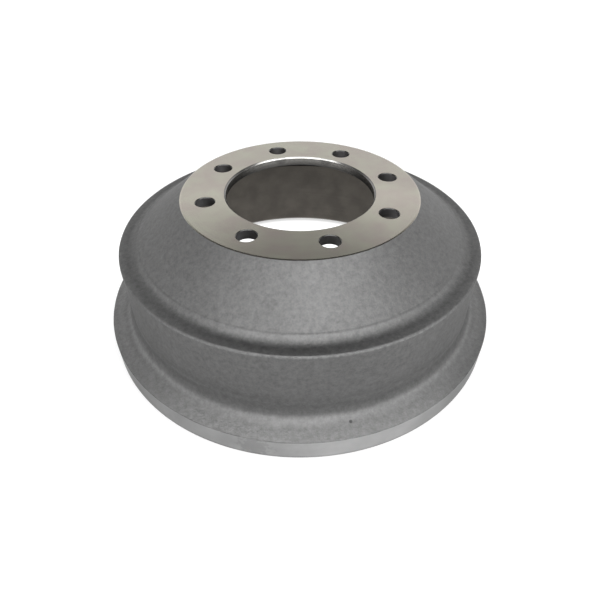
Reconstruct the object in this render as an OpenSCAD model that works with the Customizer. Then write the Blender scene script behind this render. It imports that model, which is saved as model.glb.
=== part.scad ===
// Brake drum: one dished iron casting, turned on its mounting face, pilot bore,
// braking surface and rim. The axis is Z, the open rim stands on z = 0 and the
// mounting face looks up. Lengths are in millimetres, angles in degrees.

/* [Braking surface] */
// Diameter of the turned braking surface
brake_d = 381; // [360:0.5:400]
// Width of the turned braking surface along the axis
brake_w = 89; // [60:0.5:120]
// Chamfer at the open mouth of the braking surface
mouth_chamfer = 3.5; // [1:0.5:6]
// Radial clearance of the unturned bore past the braking surface
cast_clear = 1.5; // [0.5:0.25:3]
// Height of the unturned bore between the braking surface and the ceiling
cast_run = 8; // [6:0.5:20]

/* [Walls] */
// Thickness of the barrel over the braking surface
barrel_t = 10; // [7:0.5:16]
// Thickness of the cone and of the ledge
cone_t = 10.5; // [7:0.5:14]
// Thickness of the mounting plate
plate_t = 11; // [8:0.5:16]

/* [Mounting plate] */
// Diameter of the flat turned mounting face
face_d = 258; // [240:1:280]
// Rounding of the outer edge of the mounting face
face_round = 1.2; // [0.5:0.1:3]
// Diameter of the pilot bore
bore_d = 161; // [130:1:172]
// Chamfer at both ends of the pilot bore
bore_chamfer = 1.6; // [0.5:0.1:3]
// Diameter of the bolt circle
bolt_circle_d = 206; // [200:0.5:222]
// Diameter of each bolt hole
bolt_hole_d = 20; // [14:0.5:24]
// Number of bolt holes
bolt_count = 8; // [4:1:10]
// Chamfer at both ends of each bolt hole
bolt_chamfer = 0.8; // [0.2:0.1:1.5]

/* [Cone and ledge] */
// Height of the mounting face over the ledge
cone_rise = 46; // [30:0.5:60]
// Width of the ledge from the barrel to the foot of the cone
ledge_w = 15; // [12:0.5:22]
// Hollow fillet between the cone and the ledge
foot_fillet = 12; // [4:0.5:16]
// Rounding of the outer corner of the ledge
ledge_round = 2.4; // [1:0.1:4]
// Width of the raised land round the foot of the cone
land_w = 7.4; // [6:0.1:12]
// Height of the raised land over the cone
land_h = 0.5; // [0.3:0.1:1.5]

/* [Rim flange] */
// Width of the flange past the barrel
flange_w = 25.5; // [20:0.5:36]
// Height of the turned band round the flange
band_h = 25; // [14:0.5:40]
// Fall of the flange top towards the band
flange_slope = 16; // [6:1:30]
// Hollow fillet between the barrel and the flange top
flange_fillet = 18; // [8:0.5:24]
// Chamfer of the lower edge of the band
band_chamfer = 1.5; // [0.5:0.1:4]
// Chamfer of the upper edge of the band
band_break = 0.5; // [0.2:0.1:2]

/* [Inside corners] */
// Hollow fillet between the unturned bore and the ceiling
ceiling_fillet = 4; // [2:0.5:5]
// Rounding between the ceiling and the inside of the cone
ceiling_round = 14; // [4:0.5:18]
// Hollow fillet between the inside of the cone and the plate
plate_fillet = 10; // [3:0.5:14]

/* [Hidden] */
iron = [0.52, 0.52, 0.51];
turn_fn = 240;
arc_fn = 96;
hole_fn = 64;
past = 1;

brake_r = brake_d / 2;
cast_r = brake_r + cast_clear;
barrel_r = brake_r + barrel_t;
flange_r = barrel_r + flange_w;
face_r = face_d / 2;
bore_r = bore_d / 2;
mouth_r = brake_r + mouth_chamfer;

brake_top = mouth_chamfer + brake_w;
ceiling_z = brake_top + cast_run;
ledge_z = ceiling_z + cone_t;
drum_h = ledge_z + cone_rise;
plate_z = drum_h - plate_t;

// the outer cone runs from the edge of the mounting face to its foot on the ledge
foot_r = barrel_r - ledge_w;
cone_angle = atan2(cone_rise, foot_r - face_r);
cone_out = [sin(cone_angle), cos(cone_angle)];
cone_down = [cos(cone_angle), -sin(cone_angle)];

// radius of the outer cone, or of a copy shifted by d along its normal, at height z
function cone_r(z, d = 0) =
    face_r + (drum_h - z) / tan(cone_angle) + d / sin(cone_angle);

// the land starts with a small riser and ends on the ledge
land_foot = [cone_r(ledge_z, land_h), ledge_z];
land_top = [foot_r - land_w, drum_h - (foot_r - land_w - face_r) * tan(cone_angle)];
land_start = land_top + land_h * (cone_out + cone_down);

face_edge = [face_r, drum_h];
ledge_corner = [barrel_r, ledge_z];
flange_root = [barrel_r, band_h + flange_w * tan(flange_slope)];
band_top = [flange_r - band_break, band_h + band_break * tan(flange_slope)];

ceiling_corner = [cast_r, ceiling_z];
cone_low = [cone_r(ceiling_z, -cone_t), ceiling_z];
cone_high = [cone_r(plate_z, -cone_t), plate_z];

function unit(v) = v / norm(v);

// Tangent point, arc centre and tangent point of a round of radius r where two
// straight edges meet at corner. from and to lie on the edges on either side.
function round_points(from, corner, to, r) =
    let (
        a = unit(from - corner),
        b = unit(to - corner),
        half = acos(a * b) / 2
    )
    [
        corner + a * r / tan(half),
        corner + unit(a + b) * r / sin(half),
        corner + b * r / tan(half)
    ];

foot_round = round_points(land_start, land_foot, ledge_corner, foot_fillet);
flange_round = round_points(ledge_corner, flange_root, band_top, flange_fillet);
cone_round = round_points(ceiling_corner, cone_low, cone_high, ceiling_round);

// disc that hollows out a fillet whose three round points are in the outline
module fillet_disc(points, r) {
    translate(points[1]) circle(r, $fn = arc_fn);
}

// sliver that is cut away to round a sharp corner
module corner_sliver(from, corner, to, r) {
    points = round_points(from, corner, to, r);
    difference() {
        polygon([points[0], points[1], points[2], 2 * corner - points[1]]);
        translate(points[1]) circle(r, $fn = arc_fn);
    }
}

// outer form of the casting, solid down to the axis
module outer_form() {
    difference() {
        polygon(concat(
            [
                [0, 0],
                [flange_r - band_chamfer, 0],
                [flange_r, band_chamfer],
                [flange_r, band_h - band_break],
                band_top
            ],
            [flange_round[2], flange_round[1], flange_round[0]],
            [ledge_corner],
            [foot_round[2], foot_round[1], foot_round[0]],
            [land_start, land_top, face_edge, [0, drum_h]]
        ));
        fillet_disc(flange_round, flange_fillet);
        fillet_disc(foot_round, foot_fillet);
        corner_sliver(land_foot, ledge_corner, flange_root, ledge_round);
        corner_sliver(land_top, face_edge, [0, drum_h], face_round);
    }
}

// hollow under the plate, open at the rim
module hollow_form() {
    difference() {
        polygon(concat(
            [
                [0, -past],
                [mouth_r + past, -past],
                [brake_r, mouth_chamfer],
                [brake_r, brake_top],
                [cast_r, brake_top + cast_clear],
                ceiling_corner
            ],
            cone_round,
            [cone_high, [0, plate_z]]
        ));
        fillet_disc(cone_round, ceiling_round);
        corner_sliver([cast_r, brake_top], ceiling_corner, cone_low, ceiling_fillet);
        corner_sliver(cone_low, cone_high, [0, plate_z], plate_fillet);
    }
}

module section() {
    difference() {
        outer_form();
        hollow_form();
        pilot_bore_form();
    }
}

// pilot bore with a chamfer at each end
module pilot_bore_form() {
    polygon([
        [0, plate_z - past],
        [bore_r + bore_chamfer + past, plate_z - past],
        [bore_r, plate_z + bore_chamfer],
        [bore_r, drum_h - bore_chamfer],
        [bore_r + bore_chamfer + past, drum_h + past],
        [0, drum_h + past]
    ]);
}

// one bolt hole with a chamfer at each end
module bolt_hole() {
    hole_r = bolt_hole_d / 2;
    rotate_extrude($fn = hole_fn) polygon([
        [0, plate_z - past],
        [hole_r + bolt_chamfer + past, plate_z - past],
        [hole_r, plate_z + bolt_chamfer],
        [hole_r, drum_h - bolt_chamfer],
        [hole_r + bolt_chamfer + past, drum_h + past],
        [0, drum_h + past]
    ]);
}

module drum() {
    color(iron) difference() {
        rotate_extrude($fn = turn_fn) section();
        for (i = [0 : bolt_count - 1])
            rotate([0, 0, i * 360 / bolt_count])
                translate([bolt_circle_d / 2, 0, 0]) bolt_hole();
    }
}

drum();
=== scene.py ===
from math import atan2, cos, pi, radians, sin, tan

import bmesh
import bpy
from mathutils import Matrix, Vector, noise


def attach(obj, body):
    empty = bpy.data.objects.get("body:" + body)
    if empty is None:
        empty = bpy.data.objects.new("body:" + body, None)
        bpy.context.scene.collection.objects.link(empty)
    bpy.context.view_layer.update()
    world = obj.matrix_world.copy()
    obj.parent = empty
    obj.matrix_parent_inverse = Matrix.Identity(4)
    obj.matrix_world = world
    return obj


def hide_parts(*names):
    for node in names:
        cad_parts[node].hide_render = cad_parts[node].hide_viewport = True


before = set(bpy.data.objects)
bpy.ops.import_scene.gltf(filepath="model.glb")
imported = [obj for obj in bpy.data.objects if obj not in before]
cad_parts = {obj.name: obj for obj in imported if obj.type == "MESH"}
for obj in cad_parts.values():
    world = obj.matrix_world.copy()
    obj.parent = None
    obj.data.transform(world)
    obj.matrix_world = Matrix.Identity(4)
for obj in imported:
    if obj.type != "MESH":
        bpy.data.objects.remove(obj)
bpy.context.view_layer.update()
print("frame loaded")

mm = 0.001
fullTurn = 2 * pi
close = 0.01      # points and heights nearer than this count as one, in millimetres

# the casting, in millimetres and degrees, with the same sizes as the part's source
drum = {
    "brakeDiameter": 381, "brakeWidth": 89, "mouthChamfer": 3.5,
    "castClearance": 1.5, "castRun": 8,
    "barrelWall": 10, "coneWall": 10.5, "plateThickness": 11,
    "faceDiameter": 258, "faceLip": (1.4, 0.3),      # width and fall of the face's rolled edge
    "boreDiameter": 161, "boreChamfer": 1.6,
    "boltCircle": 206, "boltHole": 20, "boltCount": 8, "boltChamfer": 0.8,
    "coneRise": 46, "ledgeWidth": 15, "footFillet": 12, "ledgeRound": 2.4,
    "landWidth": 7.4, "landHeight": 0.5, "landEase": 2.0,
    "flangeWidth": 25.5, "bandHeight": 25, "flangeSlope": 16, "flangeFillet": 18,
    "bandChamfer": 1.5, "bandBreak": 0.5,
    "ceilingFillet": 4, "ceilingRound": 14, "plateFillet": 10,
    "edgeRound": 0.3,            # softening of the turned edges
    "sectorSteps": 38,           # faces round the axis for each bolt hole
    "holeSteps": 64,             # faces round a bolt hole
    "arcStep": 6, "arcLeast": 3,          # turn of one face in a rounding, and the fewest faces
    "castStep": 4, "turnedStep": 24,      # longest face along a straight run
    "hem": 0.4,                  # narrow face at each end of a straight run
    "sharpAngle": 27,            # edges that turn more than this are shaded sharp
    "waves": (0.12, 45),         # unevenness of the cast skin: depth and length
    "ripples": (0.05, 11),
    "edgeWander": (0.35, 16),    # how the band's upper edge wanders: depth and length
}

# finishes of the runs that keep their cast skin, and of those that are turned
castFinishes = ["flange", "barrel", "ledge", "cone", "inside"]
turnedFinishes = ["face", "bore", "hole", "band", "shadedEdge", "rim", "track"]
finishes = castFinishes + turnedFinishes


def drumLevels(d):
    brakeTop = d["mouthChamfer"] + d["brakeWidth"]
    ceiling = brakeTop + d["castRun"]
    ledge = ceiling + d["coneWall"]
    top = ledge + d["coneRise"]
    return {"brakeTop": brakeTop, "ceiling": ceiling, "ledge": ledge, "top": top,
            "plate": top - d["plateThickness"]}


def drumOutline(d, level):
    # corners of the section: radius, height, rounding, finish of the run that follows
    brakeR = d["brakeDiameter"] / 2
    castR = brakeR + d["castClearance"]
    barrelR = brakeR + d["barrelWall"]
    flangeR = barrelR + d["flangeWidth"]
    faceR = d["faceDiameter"] / 2
    boreR = d["boreDiameter"] / 2
    footR = barrelR - d["ledgeWidth"]
    top, plate, ledge, ceiling = level["top"], level["plate"], level["ledge"], level["ceiling"]
    slope = atan2(d["coneRise"], footR - faceR)
    fall = tan(radians(d["flangeSlope"]))

    def coneR(height, shift=0):
        return faceR + (top - height) / tan(slope) + shift / sin(slope)

    landR = footR - d["landWidth"]
    landZ = top - (landR - faceR) * tan(slope)
    riser, ease = d["landHeight"], d["landEase"]
    riserR = landR + riser * sin(slope) + ease * cos(slope)
    riserZ = landZ + riser * cos(slope) - ease * sin(slope)
    lip, sag = d["faceLip"]
    soft, chamfer, bevel = d["edgeRound"], d["boreChamfer"], d["bandChamfer"]
    return [
        (flangeR - bevel, 0, soft, "shadedEdge"),
        (flangeR, bevel, soft, "band"),
        (flangeR, d["bandHeight"] - d["bandBreak"], 0, "flange"),
        (flangeR - d["bandBreak"], d["bandHeight"] + d["bandBreak"] * fall, 0, "flange"),
        (barrelR, d["bandHeight"] + d["flangeWidth"] * fall, d["flangeFillet"], "barrel"),
        (barrelR, ledge, d["ledgeRound"], "ledge"),
        (coneR(ledge, riser), ledge, d["footFillet"], "cone"),
        (riserR, riserZ, ease, "cone"),
        (landR, landZ, ease, "cone"),
        (faceR, top - sag, 0, "face"),
        (faceR - lip, top, lip, "face"),
        (boreR + chamfer, top, soft, "bore"),
        (boreR, top - chamfer, soft, "bore"),
        (boreR, plate + chamfer, soft, "shadedEdge"),
        (boreR + chamfer, plate, soft, "inside"),
        (coneR(plate, -d["coneWall"]), plate, d["plateFillet"], "inside"),
        (coneR(ceiling, -d["coneWall"]), ceiling, d["ceilingRound"], "inside"),
        (castR, ceiling, d["ceilingFillet"], "inside"),
        (castR, level["brakeTop"] + d["castClearance"], 0, "inside"),
        (brakeR, level["brakeTop"], 0, "track"),
        (brakeR, d["mouthChamfer"], soft, "rim"),
        (brakeR + d["mouthChamfer"], 0, soft, "rim"),
    ]


def holeOutline(d, level):
    # the same for one bolt hole, from the face down to the underside of the plate
    holeR = d["boltHole"] / 2
    chamfer, soft = d["boltChamfer"], d["edgeRound"] / 2
    reach = d["hem"] + chamfer
    return [
        (holeR + reach, level["top"], 0, "face"),
        (holeR + chamfer, level["top"], soft, "shadedEdge"),
        (holeR, level["top"] - chamfer, soft, "hole"),
        (holeR, level["plate"] + chamfer, soft, "shadedEdge"),
        (holeR + chamfer, level["plate"], soft, "inside"),
        (holeR + reach, level["plate"], 0, "inside"),
    ]


def softCorner(before, corner, after, radius):
    # start and end of the arc that rounds a corner, its centre and its turn
    back, on = (before - corner).normalized(), (after - corner).normalized()
    half = back.angle(on) / 2
    reach = radius / tan(half)
    centre = corner + (back + on).normalized() * radius / sin(half)
    turn = (pi - 2 * half) * (-1 if back.cross(on).y > 0 else 1)
    return corner + back * reach, corner + on * reach, centre, turn


def startWire(mesh, place):
    return bmesh.ops.create_vert(mesh, co=place)["vert"][0]


def lineTo(mesh, tip, stops):
    for stop in stops:
        tip = bmesh.ops.extrude_vert_indiv(mesh, verts=[tip])["verts"][0]
        tip.co = stop
    return tip


def arcTo(mesh, tip, centre, turn):
    steps = max(drum["arcLeast"], round(abs(turn) / radians(drum["arcStep"])))
    arc = bmesh.ops.spin(mesh, geom=[tip], cent=centre, axis=(0, 1, 0), angle=turn, steps=steps)
    return [v for v in arc["geom_last"] if isinstance(v, bmesh.types.BMVert)][0]


def runStops(start, goal, longest):
    # even steps along a straight run, with a narrow hem at each end, at most a quarter of the run
    length = (goal - start).length
    hem = min(drum["hem"], length / 4)
    steps = max(1, round((length - 2 * hem) / longest))
    first, last = start.lerp(goal, hem / length), goal.lerp(start, hem / length)
    return [first.lerp(last, i / steps) for i in range(steps + 1)] + [goal]


def addTo(mesh, part):
    # a part goes into the whole by way of a mesh that is then deleted
    data = bpy.data.meshes.new("part")
    part.to_mesh(data)
    part.free()
    mesh.from_mesh(data)
    bpy.data.meshes.remove(data)


def sweepOutline(mesh, outline, closed, centre, angle, steps, holed=()):
    # each run, with the arc that leads into it, is drawn as a wire and spun by itself;
    # a holed run keeps only its two hems
    axis = Vector(centre)
    places = [Vector((row[0], 0, row[1])) + axis for row in outline]
    count = len(outline)
    whole = angle == fullTurn
    corners = []
    for i, row in enumerate(outline):
        if row[2]:
            corners.append(softCorner(places[i - 1], places[i], places[(i + 1) % count], row[2]))
        else:
            corners.append((places[i], places[i], None, 0))
    for i in range(count if closed else count - 1):
        start, leave, middle, turn = corners[i]
        goal = corners[(i + 1) % count][0]
        finish = outline[i][3]
        run = bmesh.new()
        tip = startWire(run, start)
        if middle:
            tip = arcTo(run, tip, middle, turn)
        longest = drum["castStep"] if finish in castFinishes else drum["turnedStep"]
        stops = runStops(leave, goal, longest)
        if i in holed:
            lineTo(run, tip, stops[:1])
            lineTo(run, startWire(run, stops[-2]), stops[-1:])
        else:
            lineTo(run, tip, stops)
        if not whole:
            bmesh.ops.rotate(run, cent=centre, matrix=Matrix.Rotation(-angle / 2, 3, "Z"),
                             verts=run.verts)
        bmesh.ops.spin(run, geom=run.verts[:] + run.edges[:], cent=centre, axis=(0, 0, 1),
                       angle=angle, steps=steps, use_merge=whole)
        for face in run.faces:
            face.material_index = finishes.index(finish)
        addTo(mesh, run)


def fillPlate(mesh, height, finish):
    # the flat round the bolt holes
    rim = [e for e in mesh.edges if e.is_boundary
           and all(abs(v.co.z - height) < close for v in e.verts)]
    done = set(mesh.faces)
    bmesh.ops.triangle_fill(mesh, use_beauty=True, edges=rim, normal=(0, 0, 1))
    for face in mesh.faces:
        if face not in done:
            face.material_index = finishes.index(finish)


def unevenSkin(mesh, level):
    # the cast skin is a little uneven, apart from the plate's flat underside,
    # and so is the line where turning cuts into it
    cast = {finishes.index(name) for name in castFinishes}
    band = finishes.index("band")
    mesh.normal_update()
    moves = []
    for v in mesh.verts:
        kinds = {face.material_index for face in v.link_faces}
        if kinds <= cast and abs(v.co.z - level["plate"]) > close:
            push = sum(depth * noise.noise(v.co / length)
                       for depth, length in (drum["waves"], drum["ripples"]))
            moves.append((v, v.normal * push))
        elif band in kinds and kinds & cast:
            depth, length = drum["edgeWander"]
            moves.append((v, Vector((0, 0, depth * noise.noise(v.co / length)))))
    for v, move in moves:
        v.co += move


def buildDrum():
    level = drumLevels(drum)
    outline = drumOutline(drum, level)
    flats = (level["top"], level["plate"])
    holed = [i for i, row in enumerate(outline)
             if row[1] in flats and row[1] == outline[(i + 1) % len(outline)][1]]
    # the sector round one bolt hole, and then the rest of the sectors
    mesh = bmesh.new()
    share = fullTurn / drum["boltCount"]
    sweepOutline(mesh, outline, True, (0, 0, 0), share, drum["sectorSteps"], holed)
    sweepOutline(mesh, holeOutline(drum, level), False, (drum["boltCircle"] / 2, 0, 0), fullTurn,
                 drum["holeSteps"])
    bmesh.ops.spin(mesh, geom=mesh.verts[:] + mesh.edges[:] + mesh.faces[:], cent=(0, 0, 0),
                   axis=(0, 0, 1), angle=fullTurn - share, steps=drum["boltCount"] - 1,
                   use_duplicate=True)
    bmesh.ops.remove_doubles(mesh, verts=mesh.verts, dist=close)
    fillPlate(mesh, level["top"], "face")
    fillPlate(mesh, level["plate"], "inside")
    bmesh.ops.recalc_face_normals(mesh, faces=mesh.faces)
    unevenSkin(mesh, level)
    bmesh.ops.transform(mesh, matrix=Matrix.Scale(mm, 4), verts=mesh.verts)
    for face in mesh.faces:
        face.smooth = True

    data = bpy.data.meshes.new("drumCasting")
    mesh.to_mesh(data)
    print("open edges", sum(not e.is_manifold for e in mesh.edges), "faces", len(mesh.faces))
    mesh.free()
    data.set_sharp_from_angle(angle=radians(drum["sharpAngle"]))
    piece = bpy.data.objects.new("drumCasting", data)
    bpy.context.scene.collection.objects.link(piece)
    return piece


casting = buildDrum()
print("casting built")


# Node helpers. An input is a value or the socket that feeds it.
def put(tree, kind, settings=None, inputs=None):
    made = tree.nodes.new("ShaderNode" + kind)
    for key, value in (settings or {}).items():
        setattr(made, key, value)
    for key, value in (inputs or {}).items():
        if isinstance(value, bpy.types.NodeSocket):
            tree.links.new(value, made.inputs[key])
        else:
            made.inputs[key].default_value = value
    return made


def newGroup(name, inputs, outputs):
    group = bpy.data.node_groups.new(name, "ShaderNodeTree")
    for label, value in inputs.items():
        socket = group.interface.new_socket(name=label, in_out="INPUT",
                                            socket_type="NodeSocketFloat")
        socket.default_value = value
    for label in outputs:
        group.interface.new_socket(name=label, in_out="OUTPUT", socket_type="NodeSocketFloat")
    ins, outs = group.nodes.new("NodeGroupInput"), group.nodes.new("NodeGroupOutput")
    return group, ins.outputs, outs.inputs


def maths(tree, operation, a, b=0.0, c=0.0):
    return put(tree, "Math", {"operation": operation}, {0: a, 1: b, 2: c}).outputs[0]


def vectorMaths(tree, operation, a, b=(0, 0, 0)):
    made = put(tree, "VectorMath", {"operation": operation}, {0: a, 1: b})
    asNumber = operation in ("LENGTH", "DISTANCE", "DOT_PRODUCT")
    return made.outputs["Value" if asNumber else "Vector"]


def scaled(tree, vector, factor):
    made = put(tree, "VectorMath", {"operation": "SCALE"}, {0: vector, "Scale": factor})
    return made.outputs["Vector"]


def ramp(tree, value, start=0.0, end=1.0, low=0.0, high=1.0, kind="LINEAR"):
    # low at the start, high at the end and level past both; the start may lie past the end
    return put(tree, "MapRange", {"interpolation_type": kind},
               {"Value": value, "From Min": start, "From Max": end,
                "To Min": low, "To Max": high}).outputs[0]


def easedRamp(tree, value, start, end):
    return ramp(tree, value, start, end, kind="SMOOTHSTEP")


def noiseOf(tree, vector, scale, detail=2.0, roughness=0.5):
    # the scale is per metre where the vector is in metres, and per millimetre where it is scaled
    return put(tree, "TexNoise", None, {"Vector": vector, "Scale": scale, "Detail": detail,
                                        "Roughness": roughness}).outputs["Fac"]


def objectPlace(tree):
    return put(tree, "TexCoord").outputs["Object"]


def vectorOf(tree, x=0.0, y=0.0, z=0.0):
    return put(tree, "CombineXYZ", None, {"X": x, "Y": y, "Z": z}).outputs[0]


def heightOf(tree, vector):
    return put(tree, "SeparateXYZ", None, {0: vector}).outputs["Z"]


def flatOf(tree, vector):
    return vectorMaths(tree, "MULTIPLY", vector, (1, 1, 0))


def asideOf(tree, vector, facing):
    # degrees round the axis between a vector and a level direction
    level = vectorMaths(tree, "NORMALIZE", flatOf(tree, vector))
    lined = vectorMaths(tree, "DOT_PRODUCT", level, facing)
    return maths(tree, "DEGREES", maths(tree, "ARCCOSINE", lined))


# values of the patterns that the finishes share
pattern = {
    "grainRoughness": 0.6, "lumpDetail": 1.0,
    "lumpShare": 1.1, "toneScale": 0.476,       # lumps beside grains, and both brought to 0 to 1
    "patchSize": 60, "mottleSize": 24, "mottleDetail": 3.0,        # sizes in millimetres
    # the part of a noise that is spread over the whole of a colour or roughness
    "toneSpan": (0.32, 0.68), "patchSpan": (0.3, 0.7),
    "mottleSpan": (0.35, 0.65), "lineSpan": (0.3, 0.7),
    # noise that breaks up a ring or frays a spot: scale per millimetre and detail
    "ringBreaks": (0.3, 3.0), "ringSpan": (0.35, 0.6),
    "spotFray": (0.25, 4.0), "spotSpan": (0.0, 0.5),
}


def castGrainGroup():
    # sand-cast skin: fine grains, soft lumps and broad patches; sizes in millimetres
    tree, ins, outs = newGroup("castGrain", {"Grain": 1.2, "Lump": 5.0},
                               ["Tone", "Patch", "Height"])
    place = objectPlace(tree)
    grainScale = maths(tree, "DIVIDE", 1 / mm, ins["Grain"])
    lumpScale = maths(tree, "DIVIDE", 1 / mm, ins["Lump"])
    grain = noiseOf(tree, place, grainScale, roughness=pattern["grainRoughness"])
    lump = noiseOf(tree, place, lumpScale, pattern["lumpDetail"])
    both = maths(tree, "ADD", grain, maths(tree, "MULTIPLY", lump, pattern["lumpShare"]))
    tree.links.new(maths(tree, "MULTIPLY", both, pattern["toneScale"]), outs["Tone"])
    tree.links.new(noiseOf(tree, place, 1 / (pattern["patchSize"] * mm)), outs["Patch"])
    tree.links.new(both, outs["Height"])
    return tree


def upwardGroup():
    # how far a surface looks up, from 0 at the first level of its normal to 1 at the second
    tree, ins, outs = newGroup("upward", {"From": 0.54, "To": 0.78}, ["Mask"])
    up = heightOf(tree, put(tree, "TexCoord").outputs["Normal"])
    tree.links.new(easedRamp(tree, up, ins["From"], ins["To"]), outs["Mask"])
    return tree


def edgeRingGroup():
    # Soft ring round the axis that paints light or shade, such as a highlight along an edge or
    # shade in a corner, broken up by noise; in millimetres. It fades out at the spread, in degrees
    # to each side of the turn.
    tree, ins, outs = newGroup("edgeRing", {"Radius": 200.0, "Height": 100.0, "Reach": 2.0,
                                            "Broken": 0.5, "Turn": 0.0, "Spread": 360.0}, ["Mask"])
    place = scaled(tree, objectPlace(tree), 1 / mm)
    flat = flatOf(tree, place)
    here = vectorOf(tree, vectorMaths(tree, "LENGTH", flat), heightOf(tree, place))
    away = vectorMaths(tree, "DISTANCE", here, vectorOf(tree, ins["Radius"], ins["Height"]))
    near = easedRamp(tree, away, ins["Reach"], 0.0)
    breaks = noiseOf(tree, place, *pattern["ringBreaks"])
    kept = ramp(tree, breaks, *pattern["ringSpan"],
                low=maths(tree, "SUBTRACT", 1.0, ins["Broken"]))
    turn = maths(tree, "RADIANS", ins["Turn"])
    back = maths(tree, "MULTIPLY", maths(tree, "COSINE", turn), -1.0)
    aside = asideOf(tree, flat, vectorOf(tree, maths(tree, "SINE", turn), back))
    arc = easedRamp(tree, aside, ins["Spread"], maths(tree, "MULTIPLY", ins["Spread"], 0.5))
    mask = maths(tree, "MULTIPLY", maths(tree, "MULTIPLY", near, kept), arc)
    tree.links.new(mask, outs["Mask"])
    return tree


def spotGroup():
    # soft spot round a point, such as painted light or shade, a pit or a smudge, with a ragged
    # edge; in millimetres
    tree, ins, outs = newGroup("spot", {"X": 0.0, "Y": 0.0, "Z": 0.0, "Reach": 10.0,
                                        "Ragged": 0.5}, ["Mask"])
    place = scaled(tree, objectPlace(tree), 1 / mm)
    away = vectorMaths(tree, "DISTANCE", place, vectorOf(tree, ins["X"], ins["Y"], ins["Z"]))
    share = maths(tree, "SUBTRACT", 1.0, maths(tree, "DIVIDE", away, ins["Reach"]))
    fray = noiseOf(tree, place, *pattern["spotFray"])
    rag = maths(tree, "MULTIPLY", ins["Ragged"], maths(tree, "SUBTRACT", fray, 0.5))
    mask = easedRamp(tree, maths(tree, "ADD", share, rag), *pattern["spotSpan"])
    tree.links.new(mask, outs["Mask"])
    return tree


def turnedMarksGroup():
    # rings left by the tool, read along the radius on a face and along the axis on a cylinder
    tree, ins, outs = newGroup("turnedMarks", {"Face": 1.0, "Pitch": 0.8}, ["Marks", "Mottle"])
    place = objectPlace(tree)
    flat = flatOf(tree, place)
    radius, height = vectorMaths(tree, "LENGTH", flat), heightOf(tree, place)
    across = put(tree, "Mix", {"data_type": "FLOAT"},
                 {"Factor": ins["Face"], 2: height, 3: radius}).outputs[0]
    rings = maths(tree, "DIVIDE", maths(tree, "DIVIDE", across, mm), ins["Pitch"])
    around = vectorMaths(tree, "NORMALIZE", flat)
    mark = vectorMaths(tree, "ADD", around, vectorOf(tree, z=rings))
    mottle = noiseOf(tree, place, 1 / (pattern["mottleSize"] * mm), pattern["mottleDetail"])
    tree.links.new(noiseOf(tree, mark, 1.0), outs["Marks"])
    tree.links.new(mottle, outs["Mottle"])
    return tree


castGrain = castGrainGroup()
upward = upwardGroup()
edgeRing = edgeRingGroup()
spot = spotGroup()
turnedMarks = turnedMarksGroup()


def newMaterial(name):
    made = bpy.data.materials.new(name)
    made.use_nodes = True
    tree = made.node_tree
    return made, tree, tree.nodes["Principled BSDF"]


def masksOf(tree, look):
    # the look's rings and spots with their gains
    masks = []
    for radius, height, reach, broken, gain, *arc in look.get("rings", []):
        turn, spread = arc or (0, 360)
        ring = put(tree, "Group", {"node_tree": edgeRing},
                   {"Radius": radius, "Height": height, "Reach": reach, "Broken": broken,
                    "Turn": turn, "Spread": spread})
        masks.append((ring.outputs["Mask"], gain))
    for (x, y, z), reach, ragged, gain in look.get("spots", []):
        mark = put(tree, "Group", {"node_tree": spot},
                   {"X": x, "Y": y, "Z": z, "Reach": reach, "Ragged": ragged})
        masks.append((mark.outputs["Mask"], gain))
    return masks


def shaded(tree, colour, masks):
    # lightens or darkens a colour where each mask lies
    gain = 1.0
    for mask, strength in masks:
        gain = maths(tree, "MULTIPLY", gain, ramp(tree, mask, low=1.0, high=strength))
    return scaled(tree, colour, gain)


def colourOf(tree, look, share):
    return put(tree, "Mix", {"data_type": "RGBA"},
               {"Factor": share, 6: (*look["dark"], 1), 7: (*look["light"], 1)}).outputs[2]


def finishShader(tree, shader, look, colour, rough, height):
    # what changes over the surface is linked, and the rest is set on the shader's own sockets
    bump = put(tree, "Bump", None,
               {"Height": height, "Strength": 1.0, "Distance": look["depth"] * mm})
    tree.links.new(colour, shader.inputs["Base Color"])
    tree.links.new(rough, shader.inputs["Roughness"])
    tree.links.new(bump.outputs[0], shader.inputs["Normal"])
    shader.inputs["Metallic"].default_value = look["metallic"]
    shader.inputs["Specular Tint"].default_value = (*[look["sheen"]] * 3, 1)


def castSkin(name, look):
    made, tree, shader = newMaterial(name)
    grain = put(tree, "Group", {"node_tree": castGrain},
                {"Grain": look["grain"], "Lump": look["lump"]}).outputs
    # painted light where the surface looks up
    upLight = put(tree, "Group", {"node_tree": upward}).outputs["Mask"]
    colour = colourOf(tree, look, ramp(tree, grain["Tone"], *pattern["toneSpan"]))
    colour = shaded(tree, colour, [(upLight, look["upLight"])] + masksOf(tree, look))
    rough = ramp(tree, grain["Patch"], *pattern["patchSpan"], *look["roughness"])
    finishShader(tree, shader, look, colour, rough, grain["Height"])
    return made


def turnedIron(name, look):
    made, tree, shader = newMaterial(name)
    marks = put(tree, "Group", {"node_tree": turnedMarks},
                {"Face": look["face"], "Pitch": look["pitch"]}).outputs
    line = ramp(tree, marks["Marks"], *pattern["lineSpan"])
    colour = colourOf(tree, look, ramp(tree, marks["Mottle"], *pattern["mottleSpan"]))
    colour = shaded(tree, colour, [(line, look["lines"])] + masksOf(tree, look))
    rough = ramp(tree, line, low=look["roughness"][0], high=look["roughness"][1])
    finishShader(tree, shader, look, colour, rough, marks["Marks"])
    tangent = put(tree, "Tangent", {"direction_type": "RADIAL", "axis": "Z"})
    tree.links.new(tangent.outputs[0], shader.inputs["Tangent"])
    shader.inputs["Anisotropic"].default_value = look["anisotropic"]
    shader.inputs["Anisotropic Rotation"].default_value = look["anisotropicTurn"]
    return made
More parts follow.
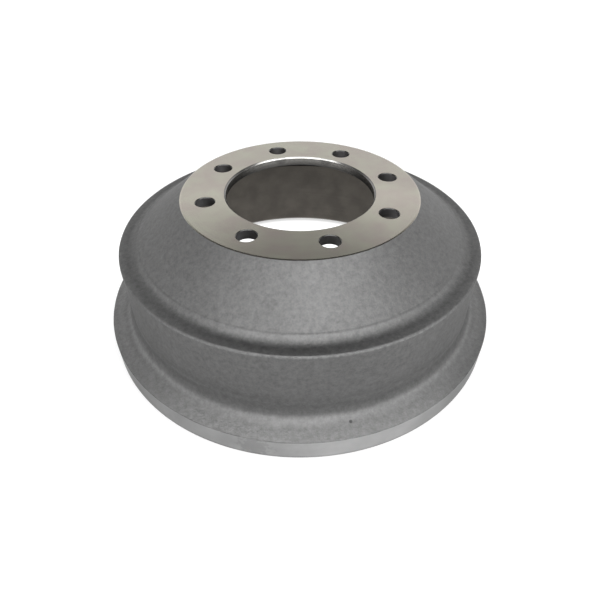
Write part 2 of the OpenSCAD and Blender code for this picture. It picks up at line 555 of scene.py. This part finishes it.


# A look's colour lies between dark and light, and its bump has a depth in millimetres. Sheen is
# the shade of its reflection at a grazing angle. On the cast skin, grain and lump are sizes in
# millimetres, and the gain where it looks up is painted light. On turned iron, face is 1 on a flat
# face and 0 on a cylinder, pitch is in millimetres, and lines is the gain on the tool's rings.
# rings: radius, height, reach, how broken, gain, and for an arc its middle turn and its spread
# spots: place, reach, how ragged, gain
grey = {
    "grain": 1.6, "lump": 4.5, "depth": 0.2,
    "dark": (0.145, 0.145, 0.144), "light": (0.204, 0.204, 0.203),
    "roughness": (0.54, 0.6), "metallic": 1.0, "sheen": 0.42, "upLight": 1.05,
}
# for the flange and barrel: a lighter copy of the cast grey as painted light, with stronger
# painted light where they look up
skirt = {**grey, "dark": (0.151, 0.151, 0.15), "light": (0.212, 0.212, 0.211), "upLight": 1.42}
bare = {
    "face": 1.0, "pitch": 0.9, "depth": 0.004, "lines": 1.07,
    "dark": (0.25, 0.227, 0.204), "light": (0.264, 0.258, 0.217),
    "roughness": (0.22, 0.26), "metallic": 1.0, "sheen": 0.7,
    "anisotropic": 0.5, "anisotropicTurn": 0.25,      # as a share of a full turn
}

frontSide = -15.8                     # the side that most arcs lie on, in degrees round the axis
# painted shade in the corner at the foot of the cone, darker still towards the front
cornerShade = [(190, 111, 12, 0.2, 0.86), (190, 111, 12, 0.2, 0.85, frontSide, 110)]
crestShade = (210, 30.7, 6, 0.1, 0.82)     # painted shade where the flange starts to rise
rimLightAndShade = [                          # painted shade on the right and the left, painted light at the front
    (224, 26, 20, 0.0, 0.7, 60, 48),
    (224, 26, 20, 0.0, 0.85, -88, 48),
    (225, 25, 16, 0.0, 1.08, frontSide, 60),
]
pit = ((-11.1, -211.1, 29.4), 2.1, 0.2, 0.4)          # a small pit in the casting, painted dark as its shade
# painted shade on the band's right and left sides
bandRightShade, bandLeftShade = ((189, -112.7, 20), 180, 0.1), ((-220, 3.1, 20), 180, 0.1)

looks = {
    "flange": {**skirt, "depth": 0.23, "rings": [crestShade, *rimLightAndShade], "spots": [pit]},
    "barrel": {
        **skirt, "depth": 0.13, "sheen": 0.34, "spots": [pit],
        # painted shade where the barrel meets the fillet at the front, painted light just above it
        # and over the lower barrel
        "rings": [(202.2, 38.5, 9, 0.2, 0.77, -12, 74), (200.5, 47, 6, 0.1, 1.2),
                  (200.5, 58, 24, 0.0, 1.08), crestShade, *rimLightAndShade],
    },
    # painted highlight along the ledge's rounded corner at the front
    "ledge": {**grey, "rings": [*cornerShade, (200.2, 109.4, 2.1, 0.8, 1.4, -12, 60)]},
    "cone": {
        **grey, "sheen": 0.55, "upLight": 1.09,
        # painted highlight on the land at the front
        "rings": [*cornerShade, (181.8, 114.6, 4.5, 0.1, 1.2, frontSide, 80)],
    },
    "inside": {**grey, "dark": (0.1, 0.093, 0.086), "light": (0.15, 0.14, 0.127)},
    "face": {
        **bare,
        # painted shade on the front of the face and painted light to its right and left
        "spots": [((-28.6, -101, 157), 100, 0.1, 0.88), ((71.1, -81.3, 157), 86, 0.1, 1.17),
                  ((-103.2, -31.9, 157), 86, 0.1, 1.1)],
    },
    "bore": {
        **bare, "face": 0.0, "metallic": 0.8,
        "dark": (0.28, 0.275, 0.265), "light": (0.3, 0.295, 0.285),
        # painted light on the wall below the chamfer; painted shade that dims the chamfer's
        # highlight all round, on its sides and in two gaps at the back
        "rings": [(80.5, 154, 6, 0.1, 2.2), (82.1, 157, 1.5, 0.3, 0.7)],
        "spots": [((78.9, -22.3, 156), 82, 0.3, 0.25), ((-78.9, 22.3, 156), 82, 0.3, 0.25),
                  ((-1.4, 81.5, 156), 9, 0.6, 0.7), ((50, 64.4, 156), 9, 0.6, 0.7)],
    },
    "hole": {
        **bare, "face": 0.0, "anisotropic": 0.0, "roughness": (0.4, 0.5),
        "dark": (0.205, 0.202, 0.205), "light": (0.245, 0.242, 0.245),
    },
    "band": {
        **bare, "face": 0.0, "sheen": 0.5, "lines": 1.05, "roughness": (0.28, 0.32),
        "dark": (0.395, 0.395, 0.395), "light": (0.46, 0.46, 0.46),
        # painted shade along the lower edge and on the right and left; darker over the front left,
        # with a small smudge
        "rings": [(226, 0, 4.5, 0.2, 0.35)],
        "spots": [((-125.7, -187.8, 12), 95, 0.2, 0.77), ((-101.9, -201.7, 14), 18, 2.2, 0.8),
                  (*bandRightShade, 0.64), (*bandLeftShade, 0.57)],
    },
    # turned chamfers in shade, painted dark
    "shadedEdge": {
        **bare, "face": 0.0, "anisotropic": 0.0,
        "dark": (0.05, 0.05, 0.048), "light": (0.07, 0.07, 0.068),
    },
    "rim": bare,
    "track": {
        # colour darkened as painted shade inside the drum, with painted light towards the mouth
        **bare, "face": 0.0, "lines": 1.12,
        "dark": (0.108, 0.099, 0.088), "light": (0.137, 0.126, 0.111),
        "rings": [(190.5, 0, 75, 0.1, 1.5)],
    },
}
for name in finishes:
    make = castSkin if name in castFinishes else turnedIron
    casting.data.materials.append(make(name, looks[name]))

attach(casting, "root")
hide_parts("drum")
print("materials set")


# the pale floor and the light, in metres and degrees
studio = {
    "floorTone": 0.42, "floorGlow": 0.63, "floorSize": 12.0,
    # the floor under the drum: as seen, as it lights the inside, and the width of its edge
    "innerGlow": 1.3, "innerShine": 0.4, "innerEase": 0.01,
    # parts of the floor that glow more: turn from the camera's side, reach to each side,
    # softness and gain; they start off the rim, at these distances from the axis
    "floorSides": [(75, 35, 50, 1.75), (-80, 35, 50, 1.45)],
    "sideStart": (0.245, 0.275),
    # soft white panels: turn from the camera's side and reach to each side, height from and
    # to, softness of the side edges, the lower and the upper edge
    "panels": [
        {"turn": 0, "reach": 190, "from": -90, "to": 30, "soft": (10, 6, 6), "strength": 1.03},
        {"turn": 0, "reach": 190, "from": 30, "to": 100, "soft": (10, 6, 6), "strength": 0.12},
        {"turn": 32, "reach": 32, "from": 19, "to": 35, "soft": (15, 9, 24), "strength": 2.05},
        {"turn": 6, "reach": 84, "from": 48, "to": 69, "soft": (10, 10, 6), "strength": 4.2},
        {"turn": 168, "reach": 40, "from": -20, "to": 9, "soft": (20, 8, 10), "strength": 0.85},
        {"turn": 177, "reach": 50, "from": 7, "to": 37, "soft": (14, 16, 9), "strength": 1.0},
        {"turn": 5, "reach": 90, "from": 74, "to": 100, "soft": (40, 12, 8), "strength": 1.6},
    ],
}
# the camera: turn round the axis and tilt in degrees, distance from the axis and height in
# metres, lens and sensor in millimetres
view = {
    "turn": -15.8, "distance": 0.45815, "height": 0.40476, "tilt": 39.53,
    "lens": 28.175, "sensor": 36, "shift": -0.03083, "clip": 0.01,
}


def facingOf(turn):
    # level direction that lies a turn round the axis from -Y, in degrees
    return (sin(radians(turn)), -cos(radians(turn)), 0)


def floorLevel(tree):
    # how much the floor glows, for the camera and for what the part mirrors
    path = put(tree, "LightPath").outputs
    seen = maths(tree, "MAXIMUM", path["Is Camera Ray"], path["Is Transmission Ray"])
    flat = objectPlace(tree)
    away = vectorMaths(tree, "LENGTH", flat)
    under = drum["brakeDiameter"] / 2 * mm
    outside = ramp(tree, away, under - studio["innerEase"], under)
    level = 0.0
    for ray, inner in ((seen, "innerGlow"), (path["Is Glossy Ray"], "innerShine")):
        share = ramp(tree, outside, low=studio[inner], high=studio["floorGlow"])
        level = maths(tree, "MULTIPLY_ADD", ray, share, level)
    for turn, reach, soft, gain in studio["floorSides"]:
        aside = asideOf(tree, flat, facingOf(view["turn"] + turn))
        share = easedRamp(tree, aside, reach + soft / 2, reach - soft / 2)
        share = maths(tree, "MULTIPLY", share, easedRamp(tree, away, *studio["sideStart"]))
        level = maths(tree, "MULTIPLY", level, ramp(tree, share, low=1.0, high=gain))
    return level


def addFloor():
    mesh = bmesh.new()
    bmesh.ops.create_grid(mesh, x_segments=1, y_segments=1, size=studio["floorSize"] / 2)
    data = bpy.data.meshes.new("floor")
    mesh.to_mesh(data)
    mesh.free()
    floor = bpy.data.objects.new("floor", data)
    bpy.context.scene.collection.objects.link(floor)
    made, tree, shader = newMaterial("floorPaper")
    tree.nodes.remove(shader)
    paper = put(tree, "BsdfDiffuse", None, {"Color": (studio["floorTone"],) * 3 + (1,)})
    glow = put(tree, "Emission", None, {"Strength": floorLevel(tree)})
    both = put(tree, "AddShader", None, {0: paper.outputs[0], 1: glow.outputs[0]})
    tree.links.new(both.outputs[0], tree.nodes["Material Output"].inputs["Surface"])
    data.materials.append(made)


def addWorld():
    # a light tent: white to the horizon all round, dim overhead, with brighter panels over
    # the front and at the back
    world = bpy.data.worlds.new("studio")
    bpy.context.scene.world = world
    world.use_nodes = True
    tree = world.node_tree
    ray = put(tree, "TexCoord").outputs["Generated"]
    height = maths(tree, "DEGREES", maths(tree, "ARCSINE", heightOf(tree, ray)))
    total = 0.0
    for panel in studio["panels"]:
        aside = asideOf(tree, ray, facingOf(view["turn"] + panel["turn"]))
        side, foot, brim = (wide / 2 for wide in panel["soft"])
        across = easedRamp(tree, aside, panel["reach"] + side, panel["reach"] - side)
        above = easedRamp(tree, height, panel["from"] - foot, panel["from"] + foot)
        below = easedRamp(tree, height, panel["to"] + brim, panel["to"] - brim)
        share = maths(tree, "MULTIPLY", across, maths(tree, "MULTIPLY", above, below))
        total = maths(tree, "ADD", total, maths(tree, "MULTIPLY", share, panel["strength"]))
    tree.links.new(total, tree.nodes["Background"].inputs["Strength"])
    tree.nodes["Background"].inputs["Color"].default_value = (1, 1, 1, 1)


def addCamera():
    data = bpy.data.cameras.new("camera")
    data.lens, data.sensor_width, data.shift_y = view["lens"], view["sensor"], view["shift"]
    data.clip_start = view["clip"]
    made = bpy.data.objects.new("camera", data)
    turn = radians(view["turn"])
    made.location = (view["distance"] * sin(turn), -view["distance"] * cos(turn), view["height"])
    made.rotation_euler = (radians(90 - view["tilt"]), 0, turn)
    bpy.context.scene.collection.objects.link(made)
    bpy.context.scene.camera = made


addFloor()
addWorld()
addCamera()
bpy.context.scene.view_settings.view_transform = "Standard"
print("studio ready")
